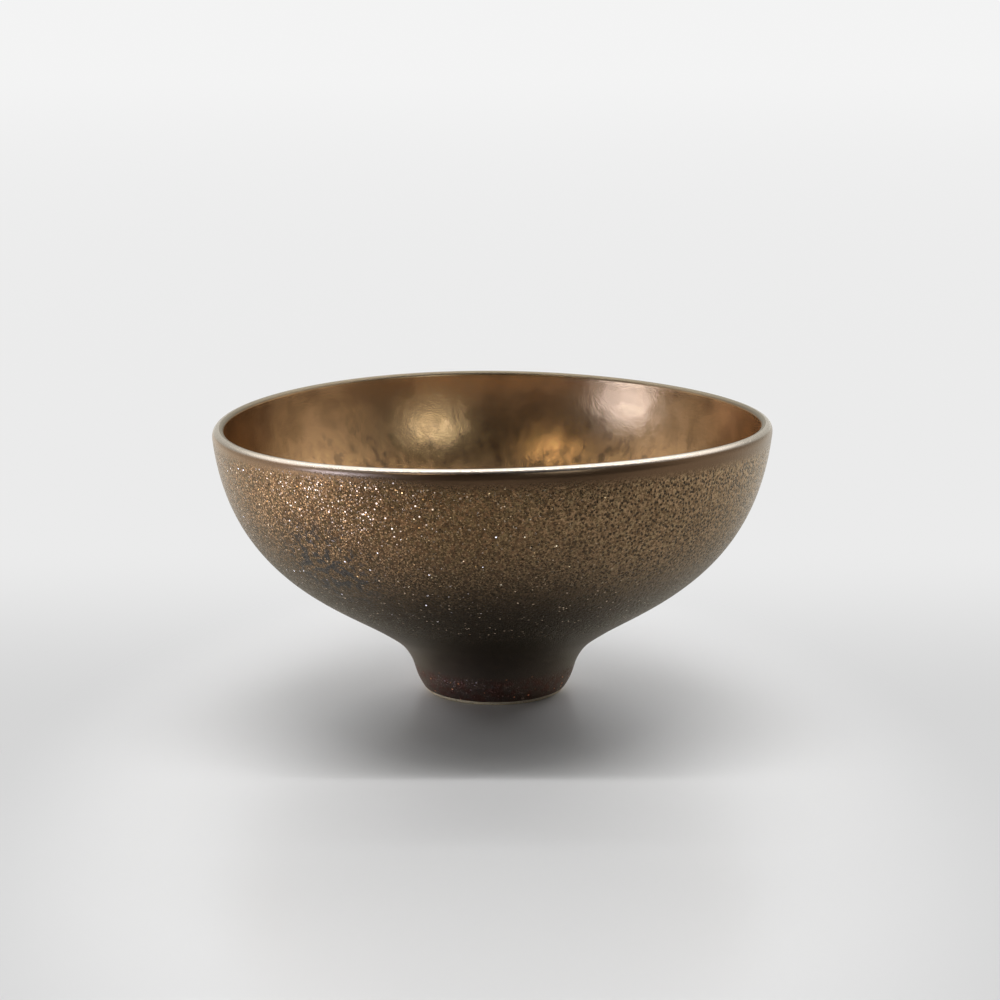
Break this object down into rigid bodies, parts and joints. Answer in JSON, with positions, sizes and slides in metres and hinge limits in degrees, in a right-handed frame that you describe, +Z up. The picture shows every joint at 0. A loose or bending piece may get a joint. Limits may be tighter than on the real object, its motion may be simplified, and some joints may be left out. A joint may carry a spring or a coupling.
{
  "type": "sake cup",
  "caption": "Wide, shallow glazed stoneware sake cup: a flared bowl that thins to a rounded lip, on a narrow turned foot ring.",
  "frame": {"origin": "on the bowl's axis, in the plane that the cup stands on; the foot ring's own axis is 0.3 mm along +X", "axes": "+Z up, out of the bowl; +X to the cup's right in the picture, +Y away from the viewer"},
  "size_m": [0.08, 0.08, 0.0406],
  "materials": {
    "bare_clay": "unglazed fired stoneware, matt and slightly gritty",
    "outer_glaze": "satin metallic bronze with fine gold crystals",
    "inner_glaze": "smoother golden bronze metallic glaze",
    "foot_well_glaze": "satin metallic bronze, darker where it lies thick"
  },
  "bodies": {
    "root": {"thrown_bowl": "bare_clay", "foot_ring": "bare_clay", "outer_glaze": "outer_glaze", "inner_glaze": "inner_glaze", "foot_well_glaze": "foot_well_glaze"}
  },
  "joints": []
}
